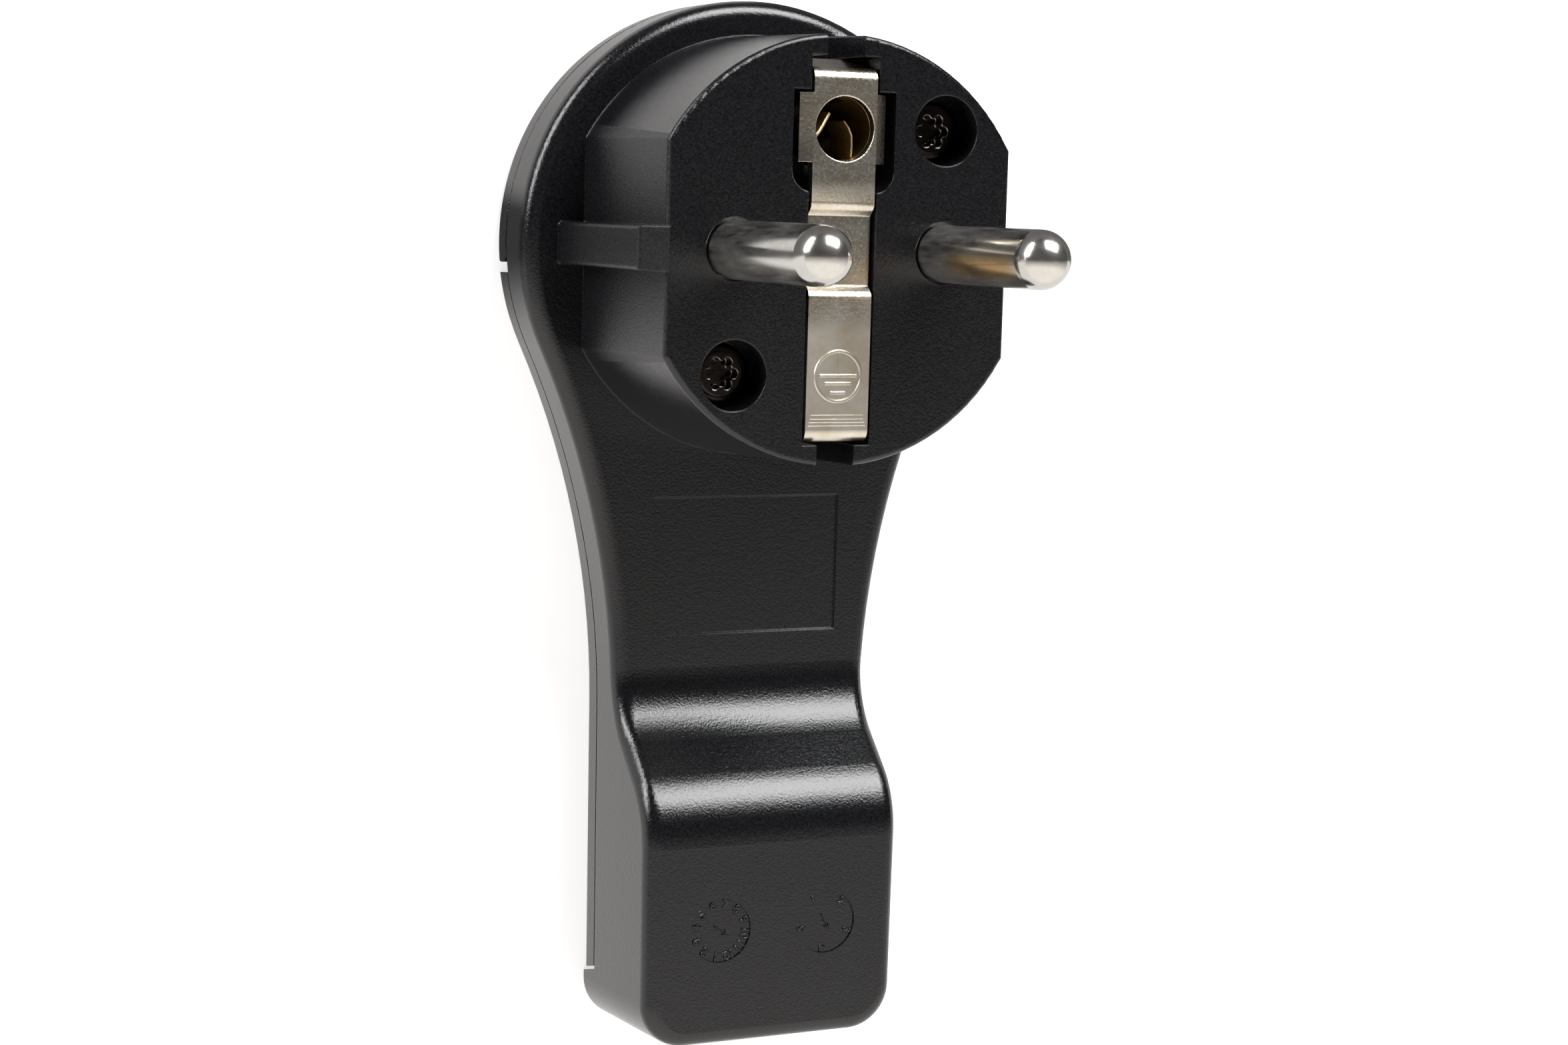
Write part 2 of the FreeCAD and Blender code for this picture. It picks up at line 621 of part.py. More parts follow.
def earth_strip():
    """Bent sheet over the face: hole and wings above, an arm at each end, tab at the foot."""
    sheet = side_slab(strip_profile(), -STRIP_HALF, STRIP_HALF)
    tab_z = ARM_FOOT_Z
    tab = box(-STRIP_HALF, STRIP_HALF, -ARM_Y, EARTH_TAB_Y + 3.4, tab_z, tab_z + STRIP_T)
    parts = [sheet, earth_arm(1, ARM_FOOT_Z), earth_arm(-1, ARM_FOOT_Z), tab]
    wing_sine = math.sin(WING_BEND)
    wing_cosine = math.cos(WING_BEND)
    wing_x = WING_WIDTH * wing_cosine
    wing_drop = WING_WIDTH * wing_sine
    for side in (-1, 1):
        section = [
            (STRIP_HALF - 0.3, STRIP_Z),
            (STRIP_HALF, STRIP_Z),
            (STRIP_HALF + wing_x, STRIP_Z - wing_drop),
            (STRIP_HALF + wing_x - STRIP_T * wing_sine, STRIP_Z - wing_drop - STRIP_T * wing_cosine),
            (STRIP_HALF, STRIP_Z - STRIP_T),
            (STRIP_HALF - 0.3, STRIP_Z - STRIP_T),
        ]
        wing = drawn(xz, WING_BOTTOM_Y, [(side * x, z) for x, z in section])
        parts.append(wing.extrude(Vector(0, WING_TOP_Y - WING_BOTTOM_Y, 0)))
    strip = fused(parts).cut([
        rod(0, EARTH_Y, STRIP_Z - 3, STRIP_Z + 1, EARTH_HOLE_R),
        rod(0, EARTH_TAB_Y, tab_z - 1, tab_z + 2, TERMINAL_THREAD_R),
    ])
    return rounded(
        strip, EARTH_RIM_R, lambda p: p.z > STRIP_Z - 0.01 and math.hypot(p.x, p.y - EARTH_Y) < EARTH_HOLE_R + 0.01)


def earth_sleeve():
    """Spring socket behind the hole in the strip: collar, foot plate and two pinched leaves."""
    top = STRIP_Z - STRIP_T
    plate = box(-2.7, 2.7, 6.4, 13.1, top - SLEEVE_PLATE_T, top)
    collar = rod(0, EARTH_Y, top - SLEEVE_COLLAR, top - SLEEVE_RIM, SLEEVE_R)
    rim = rod(0, EARTH_Y, top - SLEEVE_RIM, top, STRIP_HALF)
    leaf_face = drawn(xz, EARTH_Y, [
        (2.65, top - LEAF_ROOT),
        ((2.15, top - LEAF_WAIST), (2.4, top - LEAF_END)),
        (2.85, top - LEAF_END),
        ((2.6, top - LEAF_WAIST), (3.0, top - LEAF_ROOT)),
    ])
    parts = [plate.fuse([collar, rim]).cut(rod(0, EARTH_Y, top - 4, top + 1, EARTH_HOLE_R))]
    for start in LEAF_STARTS:
        leaf = leaf_face.copy()
        leaf.rotate(Vector(0, EARTH_Y, 0), Z_AXIS, start)
        parts.append(leaf.revolve(Vector(0, EARTH_Y, 0), Z_AXIS, LEAF_SWEEP))
    return fused(parts)


def case_screw(x, y):
    """Round-headed case screw with a six-lobed recess, sunk below the face."""
    head_top = CASE_SEAT_Z + CASE_HEAD_T
    head = rod(x, y, CASE_SEAT_Z, head_top, CASE_HEAD_R)
    head = rounded(head, 0.8, lambda p: p.z > head_top - 0.01)
    recess_z = head_top - LOBE_DEPTH
    recess = [rod(x, y, recess_z, head_top + 1, LOBE_RING_R)]
    for step in range(6):
        angle = math.radians(60 * step)
        lobe_x = x + LOBE_RING_R * math.cos(angle)
        lobe_y = y + LOBE_RING_R * math.sin(angle)
        recess.append(rod(lobe_x, lobe_y, recess_z, head_top + 1, LOBE_R))
    return fused([head, rod(x, y, CASE_TIP_Z, CASE_SEAT_Z, CASE_SHANK_R)]).cut(recess)


def cable_clamp_bar():
    """Moulded bar over the cable, with a pressing ridge and two screw holes."""
    top = CLAMP_BAR_Z + CLAMP_BAR_T
    half_x = CLAMP_BAR_HALF_X
    half_y = CLAMP_BAR_HALF_Y
    bar = box(-half_x, half_x, CLAMP_Y - half_y, CLAMP_Y + half_y, CLAMP_BAR_Z, top)
    bar = rounded(
        bar, CLAMP_BAR_CORNER_R, lambda p: abs(p.x) > half_x - 0.1 and abs(abs(p.y - CLAMP_Y) - half_y) < 0.01)
    ridge = side_slab([
        (CLAMP_Y - 1.1, top - 0.2),
        (CLAMP_Y - 0.4, top + 0.9),
        (CLAMP_Y + 0.4, top + 0.9),
        (CLAMP_Y + 1.1, top - 0.2),
    ], -4.2, 4.2)
    holes = [rod(side * CLAMP_X, CLAMP_Y, CLAMP_BAR_Z - 1, top + 1, CLAMP_SHANK_R + 0.15) for side in (-1, 1)]
    return fused([bar, ridge]).cut(holes)


def make_nodes():
    """Every piece of the plug by its name."""
    nodes = {
        "front_shell": front_shell(),
        "rear_cover": rear_cover(),
        "pull_handle": pull_handle(),
        "contact_carrier": contact_carrier(),
        "earth_strip": earth_strip(),
        "earth_sleeve": earth_sleeve(),
        "earth_terminal_washer": terminal_washer(0, EARTH_TAB_Y, ARM_FOOT_Z),
        "earth_terminal_screw": slotted_screw(
            0, EARTH_TAB_Y, ARM_FOOT_Z - WASHER_T, TERMINAL_HEAD_R, TERMINAL_HEAD_T,
            TERMINAL_THREAD_R, EARTH_SHANK),
        "cable_clamp_bar": cable_clamp_bar(),
    }
    for name, side in (("left", -1), ("right", 1)):
        nodes["contact_pin_" + name] = contact_pin(side)
        nodes["terminal_washer_" + name] = terminal_washer(side * PIN_X, 0, BARREL_END_Z)
        nodes["terminal_screw_" + name] = slotted_screw(
            side * PIN_X, 0, BARREL_END_Z - WASHER_T, TERMINAL_HEAD_R, TERMINAL_HEAD_T,
            TERMINAL_THREAD_R, TERMINAL_SHANK)
        nodes["cable_clamp_screw_" + name] = slotted_screw(
            side * CLAMP_X, CLAMP_Y, CLAMP_BAR_Z, CLAMP_HEAD_R, CLAMP_HEAD_T,
            CLAMP_SHANK_R, CLAMP_SHANK)
    for name, x, y in case_screw_places():
        nodes["case_screw_" + name] = case_screw(x, y)
        nodes["case_insert_" + name] = ring(x, y, INSERT_Z, CARRIER_Z0, CASE_SHANK_R, INSERT_R)
    return nodes


def export(nodes):
    """Write one STEP file for each piece and print its size."""
    os.makedirs("parts", exist_ok=True)
    for name, shape in sorted(nodes.items()):
        solids = shape.Solids
        if len(solids) != 1 or not shape.isValid():
            raise ValueError(name + " is not one valid solid")
        solid = solids[0]
        solid.exportStep(os.path.join("parts", name + ".step"))
        size = solid.optimalBoundingBox()
        sides = (size.XLength, size.YLength, size.ZLength)
        print("%-26s %8.1f mm3  %6.1f x %5.1f x %5.1f" % (name, solid.Volume, *sides))


export(make_nodes())
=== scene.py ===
# %% [markdown]
# A flat earthed mains plug: a black moulded case, two nickel-plated contact pins and
# a bent earth strip over the round face. The measured solids come in as a fixed frame.
# This file gives each of them its finish, adds the fine raised marks that a mould or a
# press leaves and the spring leaves behind the earth hole, and sets up the light and
# the camera.

# %% Start and load the frame
import json
import math

import bpy
from mathutils import Matrix, Vector


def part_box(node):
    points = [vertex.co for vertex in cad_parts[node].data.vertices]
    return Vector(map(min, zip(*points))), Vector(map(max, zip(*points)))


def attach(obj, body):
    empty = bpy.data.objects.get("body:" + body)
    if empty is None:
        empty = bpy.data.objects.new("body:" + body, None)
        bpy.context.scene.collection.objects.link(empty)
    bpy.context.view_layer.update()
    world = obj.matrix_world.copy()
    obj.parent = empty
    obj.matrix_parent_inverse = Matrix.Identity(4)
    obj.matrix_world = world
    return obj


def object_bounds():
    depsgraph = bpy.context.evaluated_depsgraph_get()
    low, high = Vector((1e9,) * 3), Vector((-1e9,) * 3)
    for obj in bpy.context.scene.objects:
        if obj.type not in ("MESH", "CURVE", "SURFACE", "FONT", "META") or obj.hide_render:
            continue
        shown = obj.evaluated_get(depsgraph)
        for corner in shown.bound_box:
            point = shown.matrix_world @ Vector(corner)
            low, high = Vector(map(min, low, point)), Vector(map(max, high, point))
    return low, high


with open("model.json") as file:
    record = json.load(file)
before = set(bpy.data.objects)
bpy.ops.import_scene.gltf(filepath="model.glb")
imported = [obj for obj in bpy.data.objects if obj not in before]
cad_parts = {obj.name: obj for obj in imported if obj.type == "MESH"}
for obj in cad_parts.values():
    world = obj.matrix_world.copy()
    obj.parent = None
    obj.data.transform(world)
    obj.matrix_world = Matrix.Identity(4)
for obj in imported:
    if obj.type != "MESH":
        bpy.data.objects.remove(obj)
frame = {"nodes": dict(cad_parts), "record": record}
nodes = frame["nodes"]
cad_low, cad_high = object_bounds()
MM = 0.001
print("pieces in the frame:", len(nodes))

# %% [markdown]
# A few helpers serve every finish. Colours are written as they look on a screen, so one
# function turns them into the linear values that the shader works with. Another adds a
# node of any kind and fills its sockets: with plain values, with the outputs of other
# nodes, or with a whole node, which stands for the first output that it has in use.

# %% Helpers for materials
def linear(hex_colour):
    """Linear red, green, blue and alpha of an sRGB hex colour."""
    channels = []
    for start in (0, 2, 4):
        value = int(hex_colour[start:start + 2], 16) / 255
        if value <= 0.04045:
            channels.append(value / 12.92)
        else:
            channels.append(((value + 0.055) / 1.055) ** 2.4)
    return (*channels, 1.0)


def add_node(tree, kind, inputs, **settings):
    """Add a node with its settings, its values and its links."""
    node = tree.nodes.new(kind)
    for name, value in settings.items():
        setattr(node, name, value)
    for name, value in inputs.items():
        if isinstance(value, bpy.types.Node):
            value = next(output for output in value.outputs if output.enabled)
        if isinstance(value, bpy.types.NodeSocket):
            tree.links.new(value, node.inputs[name])
        else:
            node.inputs[name].default_value = value
    return node


def new_material(name):
    """An empty material with its node tree and the place of its pattern."""
    material = bpy.data.materials.new(name)
    material.use_nodes = True
    tree = material.node_tree
    tree.nodes.clear()
    place = add_node(tree, "ShaderNodeTexCoord", {}).outputs["Object"]
    return material, tree, place


def cycles_per_metre(size_mm):
    """Texture scale for a pattern whose grains are this large."""
    return 1.0 / (size_mm * MM)


print("the grey 808080 is", round(linear("808080")[0], 4), "in linear light")

# %% [markdown]
# The case is a hard engineering plastic, polycarbonate or a blend of it, coloured black
# all through and moulded against a steel tool that was spark eroded very finely. To the
# eye that is a satin black: the surface shows soft, bright bands where it curves towards
# a lamp, with a sparkle of tiny grains in them, and almost nothing elsewhere.
# The grains are about 0.08 mm on the real one. They are drawn at 0.21 mm, so that they
# still show in a picture of the whole plug. The pits of the grain are painted darker, as
# painted shade, and its tops are polished a little lighter, so the grain also changes the
# colour. The flat sides of the head, where the fingers hold the plug, come from a coarser
# part of the tool: there the grain is stronger and the shine is broken up. No edge of a
# moulding is quite sharp, so a round of a fifth of a millimetre is added to the shading of
# every edge. The two round marks on the cable block come from hardened inserts and are left
# sharp. The grain could be a picture that is wrapped round the case. A noise on the
# coordinates of the object is used instead, because it needs no unwrapping and runs on over
# every edge.

# %% Moulded black plastic
PLASTIC_IOR = 1.56
GRAIN_MM = 0.21
PIT_LEVEL, TOP_LEVEL = 0.32, 0.68
PLAIN_BUMP = 0.7
EDGE_ROUND = 0.22 * MM
BEVEL_SAMPLES = 4
GRIP_X = 15.3 * MM
GRIP_Z = 7.8 * MM
GRIP_ROUGHER = 0.16
GRIP_MORE_BUMP = 0.3
MARK_Y = -50.0 * MM
MARK_Z = 15.4 * MM


def moulded_plastic(name, pits, tops, roughness_low, roughness_high, grain_height_mm):
    """Satin plastic with a spark-eroded grain."""
    material, tree, place = new_material(name)
    grain = add_node(tree, "ShaderNodeTexNoise", {
        "Vector": place, "Scale": cycles_per_metre(GRAIN_MM), "Detail": 2.0, "Roughness": 0.7})
    relief = add_node(tree, "ShaderNodeMapRange", {
        "Value": grain, "From Min": PIT_LEVEL, "From Max": TOP_LEVEL})
    # painted shade: the pits of the grain get the darker colour, the tops the lighter one
    colour = add_node(tree, "ShaderNodeMix", {
        "Factor": relief, "A": linear(pits), "B": linear(tops)}, data_type="RGBA")
    rough = add_node(tree, "ShaderNodeMapRange", {
        "Value": relief, "To Min": roughness_low, "To Max": roughness_high})

    parts = add_node(tree, "ShaderNodeSeparateXYZ", {"Vector": place})
    along, height = parts.outputs["Y"], parts.outputs["Z"]
    from_middle = add_node(tree, "ShaderNodeMath", {0: parts.outputs["X"]}, operation="ABSOLUTE")
    beside = add_node(tree, "ShaderNodeMath", {0: from_middle, 1: GRIP_X}, operation="GREATER_THAN")
    raised = add_node(tree, "ShaderNodeMath", {0: height, 1: GRIP_Z}, operation="GREATER_THAN")
    grip = add_node(tree, "ShaderNodeMath", {0: beside, 1: raised}, operation="MULTIPLY")
    grip_rough = add_node(tree, "ShaderNodeMath", {
        0: grip, 1: GRIP_ROUGHER, 2: rough}, operation="MULTIPLY_ADD")
    grip_bump = add_node(tree, "ShaderNodeMath", {
        0: grip, 1: GRIP_MORE_BUMP, 2: PLAIN_BUMP}, operation="MULTIPLY_ADD")

    on_block = add_node(tree, "ShaderNodeMath", {0: along, 1: MARK_Y}, operation="LESS_THAN")
    on_top = add_node(tree, "ShaderNodeMath", {0: height, 1: MARK_Z}, operation="GREATER_THAN")
    sharp = add_node(tree, "ShaderNodeMath", {0: on_block, 1: on_top}, operation="MULTIPLY")
    edge_round = add_node(tree, "ShaderNodeMapRange", {
        "Value": sharp, "To Min": EDGE_ROUND, "To Max": 0.0})
    soft_edge = add_node(tree, "ShaderNodeBevel", {"Radius": edge_round}, samples=BEVEL_SAMPLES)
    bump = add_node(tree, "ShaderNodeBump", {
        "Height": grain, "Strength": grip_bump, "Distance": grain_height_mm * MM, "Normal": soft_edge})
    shader = add_node(tree, "ShaderNodeBsdfPrincipled", {
        "Base Color": colour, "Roughness": grip_rough, "IOR": PLASTIC_IOR, "Normal": bump})
    add_node(tree, "ShaderNodeOutputMaterial", {"Surface": shader})
    return material


black_plastic = moulded_plastic(
    "spark_eroded_black_polycarbonate", "050507", "18181c", 0.15, 0.20, 0.035)
carrier_plastic = moulded_plastic(
    "plain_moulded_black_polyamide", "18181a", "323234", 0.45, 0.55, 0.03)
print("made", black_plastic.name, "and", carrier_plastic.name)

# %% [markdown]
# The pins are turned from brass bar, polished and plated with bright nickel. Nickel is
# a slightly yellow white metal. Its plate is nearly a mirror, so the pins show the room:
# a lamp on top, the dark ceiling, the pale table below and the black face of the plug.
# Fine turning marks run round the pin. Many small scuffs from sockets lie over them, and
# each scuff is matt metal that scatters the lamps, so the sides look clouded. The round
# tip is scuffed less and keeps its shine. On the flank of the right pin that faces the
# earth strip a golden patch is painted: a painted reflection of the warm strip. One
# medium roughness could stand for the scuffs, but it would blur the lamps everywhere. A
# polished and a matt metal are mixed by a noise instead, so the mirror stays clear
# between the scuffs.

# %% Bright nickel on turned brass
TURNING_MM = 0.12
TURNING_STRETCH = (0.05, 0.05, 1.0)
TURNING_HEIGHT = 0.0015 * MM
TURNING_BUMP = 0.35
SCUFF_MM = 0.9
SCUFF_STRETCH = (1.0, 1.0, 0.2)
SCUFF_DEPTH = 0.02 * MM
SCUFF_BUMP = 0.5
SCUFF_LEVELS = (0.38, 0.68)
SCUFF_SHARE = (0.04, 0.32)
TIP_SCUFF = 0.3
POLISHED_ROUGHNESS = 0.18
MATT_ROUGHNESS = 0.55
PIN_SIDE_TOP = 40.5 * MM
PIN_TIP = 42.0 * MM
# Where the painted reflection of the earth strip lies on the right pin, and how strong it is.
STRIP_REFLECTION_X = (8.9 * MM, 7.8 * MM)
STRIP_REFLECTION_Y = (0.5 * MM, -0.3 * MM)
STRIP_REFLECTION_LOW_Y = (-2.1 * MM, -1.2 * MM)
STRIP_REFLECTION_Z = (28.5 * MM, 33.5 * MM)
STRIP_REFLECTION_STRENGTH = 0.85


def bright_nickel():
    """Polished nickel plate with faint turning marks and matt scuffs."""
    material, tree, place = new_material("bright_nickel_on_turned_brass")
    rings = add_node(tree, "ShaderNodeMapping", {"Vector": place, "Scale": TURNING_STRETCH})
    turning = add_node(tree, "ShaderNodeTexNoise", {
        "Vector": rings, "Scale": cycles_per_metre(TURNING_MM), "Detail": 3.0})
    stretched = add_node(tree, "ShaderNodeMapping", {"Vector": place, "Scale": SCUFF_STRETCH})
    scuffs = add_node(tree, "ShaderNodeTexNoise", {
        "Vector": stretched, "Scale": cycles_per_metre(SCUFF_MM), "Detail": 6.0, "Roughness": 0.6})

    parts = add_node(tree, "ShaderNodeSeparateXYZ", {"Vector": place})
    across, along, height = parts.outputs["X"], parts.outputs["Y"], parts.outputs["Z"]
    side = add_node(tree, "ShaderNodeMapRange", {
        "Value": height, "From Min": PIN_SIDE_TOP, "From Max": PIN_TIP,
        "To Min": 1.0, "To Max": TIP_SCUFF})
    share = add_node(tree, "ShaderNodeMapRange", {
        "Value": scuffs, "From Min": SCUFF_LEVELS[0], "From Max": SCUFF_LEVELS[1],
        "To Min": SCUFF_SHARE[0], "To Max": SCUFF_SHARE[1]})
    scuffed = add_node(tree, "ShaderNodeMath", {0: side, 1: share}, operation="MULTIPLY")

    # painted reflection of the warm earth strip: a golden patch on the flank of the right pin that faces
    # the strip, fading towards the tip
    painted_shine_mask = add_node(tree, "ShaderNodeMath", {0: across, 1: 0.0}, operation="GREATER_THAN")
    limits = (
        (across, STRIP_REFLECTION_X), (along, STRIP_REFLECTION_Y), (along, STRIP_REFLECTION_LOW_Y), (height, STRIP_REFLECTION_Z))
    for value, (start, end) in limits:
        within = add_node(tree, "ShaderNodeMapRange", {
            "Value": value, "From Min": start, "From Max": end}, interpolation_type="SMOOTHSTEP")
        painted_shine_mask = add_node(tree, "ShaderNodeMath", {0: painted_shine_mask, 1: within}, operation="MULTIPLY")
    fading = add_node(tree, "ShaderNodeMapRange", {
        "Value": height, "From Min": PIN_SIDE_TOP, "From Max": PIN_TIP,
        "To Min": STRIP_REFLECTION_STRENGTH, "To Max": 0.0})
    strip_reflection = add_node(tree, "ShaderNodeMath", {0: painted_shine_mask, 1: fading}, operation="MULTIPLY")

    plate = add_node(tree, "ShaderNodeMix", {
        "Factor": scuffs, "A": linear("dbd9d5"), "B": linear("cecac4")}, data_type="RGBA")
    colour = add_node(tree, "ShaderNodeMix", {
        "Factor": strip_reflection, "A": plate, "B": linear("d2b07a")}, data_type="RGBA")
    bump = add_node(tree, "ShaderNodeBump", {
        "Height": turning, "Strength": TURNING_BUMP, "Distance": TURNING_HEIGHT})
    dents = add_node(tree, "ShaderNodeBump", {
        "Height": scuffs, "Strength": SCUFF_BUMP, "Distance": SCUFF_DEPTH, "Normal": bump})
    polished = add_node(tree, "ShaderNodeBsdfPrincipled", {
        "Base Color": colour, "Metallic": 1.0, "Roughness": POLISHED_ROUGHNESS, "Normal": bump})
    matt = add_node(tree, "ShaderNodeBsdfPrincipled", {
        "Base Color": colour, "Metallic": 1.0, "Roughness": MATT_ROUGHNESS, "Normal": dents})
    both = add_node(tree, "ShaderNodeMixShader", {0: scuffed, 1: polished, 2: matt})
    add_node(tree, "ShaderNodeOutputMaterial", {"Surface": both})
    return material


pin_nickel = bright_nickel()
print("made", pin_nickel.name)

# %% [markdown]
# The earth strip is rolled brass sheet, pressed to shape and nickel plated after it. The
# plate is thinner and warmer than on the pins. The upper half keeps the tooth of the
# rolled skin and sparkles in light and dark specks, while the foot was pressed smooth
# with the sign. The bends catch the lamp as one clean bright line. Sheet that is bent
# twice never stays quite flat between the bends. Under the hole the upper half stands
# up in a faint crown, which mirrors the dark room, and then it sags into the bend and
# gets bright. The sunk middle leans a little to the dark head end. All this is a few
# tenths of a millimetre at most. It could be bent into the solid, but it is drawn in the
# shading, as a lean that is added to the normal, so that the solid keeps its sizes.

# %% Nickel plate on rolled strip
TOOTH_MM = 0.23
TOOTH_LEVELS = (0.35, 0.7)
TOOTH_HEIGHT = 0.02 * MM
TOOTH_BUMP = 0.7
STAIN_MM = 2.5
STAIN_LEVELS = (0.35, 0.7)
STRIP_EDGE_ROUND = 0.07 * MM
CROWN_Y = (10.5 * MM, 7.2 * MM)
CROWN_LEAN = 0.07
SAG_Y = (6.8 * MM, 4.1 * MM)
SAG_LEAN = -0.20
SUNK_HALF_Y = 4.0 * MM
SUNK_Z = 25.1 * MM
SUNK_LEAN = 0.08
PRESSED_Y = -7.5 * MM
ROLLED_Y = -4.5 * MM
PRESSED_ROUGHNESS = 0.36
SPECK_SHINE = (-0.16, -0.07)


def plated_strip():
    """Warm nickel plate over the tooth of a rolled sheet."""
    material, tree, place = new_material("nickel_plated_rolled_brass_strip")
    tooth = add_node(tree, "ShaderNodeTexNoise", {
        "Vector": place, "Scale": cycles_per_metre(TOOTH_MM), "Detail": 3.0, "Roughness": 0.7})
    stain = add_node(tree, "ShaderNodeTexNoise", {
        "Vector": place, "Scale": cycles_per_metre(STAIN_MM), "Detail": 4.0, "Roughness": 0.6})
    stained = add_node(tree, "ShaderNodeMapRange", {
        "Value": stain, "From Min": STAIN_LEVELS[0], "From Max": STAIN_LEVELS[1]})
    colour = add_node(tree, "ShaderNodeMix", {
        "Factor": stained, "A": linear("e4dfd3"), "B": linear("cfc4b1")}, data_type="RGBA")

    parts = add_node(tree, "ShaderNodeSeparateXYZ", {"Vector": place})
    along, height = parts.outputs["Y"], parts.outputs["Z"]
    rolled = add_node(tree, "ShaderNodeMapRange", {
        "Value": along, "From Min": PRESSED_Y, "From Max": ROLLED_Y}, interpolation_type="SMOOTHSTEP")
    speck = add_node(tree, "ShaderNodeMapRange", {
        "Value": tooth, "From Min": TOOTH_LEVELS[0], "From Max": TOOTH_LEVELS[1],
        "To Min": SPECK_SHINE[0], "To Max": SPECK_SHINE[1]})
    rough = add_node(tree, "ShaderNodeMath", {
        0: speck, 1: rolled, 2: PRESSED_ROUGHNESS}, operation="MULTIPLY_ADD")
    tooth_bump = add_node(tree, "ShaderNodeMath", {0: rolled, 1: TOOTH_BUMP}, operation="MULTIPLY")

    crown = add_node(tree, "ShaderNodeMapRange", {
        "Value": along, "From Min": CROWN_Y[0], "From Max": CROWN_Y[1],
        "To Max": CROWN_LEAN}, interpolation_type="SMOOTHSTEP")
    sag = add_node(tree, "ShaderNodeMapRange", {
        "Value": along, "From Min": SAG_Y[0], "From Max": SAG_Y[1],
        "To Max": SAG_LEAN}, interpolation_type="SMOOTHSTEP")
    bent = add_node(tree, "ShaderNodeMath", {0: crown, 1: sag}, operation="ADD")
    above_bend = add_node(tree, "ShaderNodeMath", {0: along, 1: SAG_Y[1]}, operation="GREATER_THAN")
    upper = add_node(tree, "ShaderNodeMath", {0: bent, 1: above_bend}, operation="MULTIPLY")
    from_middle = add_node(tree, "ShaderNodeMath", {0: along}, operation="ABSOLUTE")
    middle = add_node(tree, "ShaderNodeMath", {0: from_middle, 1: SUNK_HALF_Y}, operation="LESS_THAN")
    below = add_node(tree, "ShaderNodeMath", {0: height, 1: SUNK_Z}, operation="LESS_THAN")
    sunk = add_node(tree, "ShaderNodeMath", {0: middle, 1: below}, operation="MULTIPLY")
    amount = add_node(tree, "ShaderNodeMath", {
        0: sunk, 1: SUNK_LEAN, 2: upper}, operation="MULTIPLY_ADD")
    lean = add_node(tree, "ShaderNodeCombineXYZ", {"Y": amount})

    soft_edge = add_node(tree, "ShaderNodeBevel", {"Radius": STRIP_EDGE_ROUND}, samples=BEVEL_SAMPLES)
    leaning = add_node(tree, "ShaderNodeVectorMath", {0: soft_edge, 1: lean}, operation="ADD")
    normal = add_node(tree, "ShaderNodeVectorMath", {0: leaning}, operation="NORMALIZE")
    bump = add_node(tree, "ShaderNodeBump", {
        "Height": tooth, "Strength": tooth_bump, "Distance": TOOTH_HEIGHT, "Normal": normal})
    shader = add_node(tree, "ShaderNodeBsdfPrincipled", {
        "Base Color": colour, "Metallic": 1.0, "Roughness": rough, "Normal": bump})
    add_node(tree, "ShaderNodeOutputMaterial", {"Surface": shader})
    return material


strip_nickel = plated_strip()
print("made", strip_nickel.name)

# %% [markdown]
# The two case screws are steel, oiled and heated black, which leaves a bronze tint. The
# edges of their star sockets are painted lighter: partly the wear of the driver, which has
# scraped them bright, and partly painted glints, so these edges are what the eye finds in
# the dark holes. The small screws inside are zinc plated, a bluish grey with a soft crystal
# pattern, and the threaded inserts are plain turned brass. The leaves of the earth socket
# are thin spring bronze under a dull coat of tin. They all get the same lighter edges.
# These edges could be painted on by hand. Here the rounded normal of the Bevel node is
# compared with the true one: the two differ only next to an edge, so one test finds every
# edge.

# %% Screws and inserts
SCREW_EDGE_ROUND = 0.15 * MM
SPECK_LEVELS = (0.3, 0.7)
SPECK_BUMP = 0.5
EDGE_AGREEMENT = (0.99, 0.90)


def screw_metal(name, base, tint, edge, roughness_low, roughness_high, speck_mm, height_mm):
    """A plated or blackened screw surface: two tones, a fine speck, and edges painted lighter as wear
    and as painted glints.
    """
    material, tree, place = new_material(name)
    speck = add_node(tree, "ShaderNodeTexNoise", {
        "Vector": place, "Scale": cycles_per_metre(speck_mm), "Detail": 4.0, "Roughness": 0.6})
    colour = add_node(tree, "ShaderNodeMix", {
        "Factor": speck, "A": linear(base), "B": linear(tint)}, data_type="RGBA")
    rough = add_node(tree, "ShaderNodeMapRange", {
        "Value": speck, "From Min": SPECK_LEVELS[0], "From Max": SPECK_LEVELS[1],
        "To Min": roughness_low, "To Max": roughness_high})
    soft_edge = add_node(tree, "ShaderNodeBevel", {"Radius": SCREW_EDGE_ROUND}, samples=BEVEL_SAMPLES)
    bump = add_node(tree, "ShaderNodeBump", {
        "Height": speck, "Strength": SPECK_BUMP, "Distance": height_mm * MM, "Normal": soft_edge})
    surface = add_node(tree, "ShaderNodeNewGeometry", {})
    agreement = add_node(tree, "ShaderNodeVectorMath", {
        0: soft_edge, 1: surface.outputs["Normal"]}, operation="DOT_PRODUCT")
    # painted glints and wear: next to every edge the colour turns to the lighter edge colour
    painted_shine_mask = add_node(tree, "ShaderNodeMapRange", {
        "Value": agreement, "From Min": EDGE_AGREEMENT[0], "From Max": EDGE_AGREEMENT[1]})
    edge_glint_and_wear_colour = add_node(tree, "ShaderNodeMix", {
        "Factor": painted_shine_mask, "A": colour, "B": linear(edge)}, data_type="RGBA")
    shader = add_node(tree, "ShaderNodeBsdfPrincipled", {
        "Base Color": edge_glint_and_wear_colour, "Metallic": 1.0, "Roughness": rough, "Normal": bump})
    add_node(tree, "ShaderNodeOutputMaterial", {"Surface": shader})
    return material


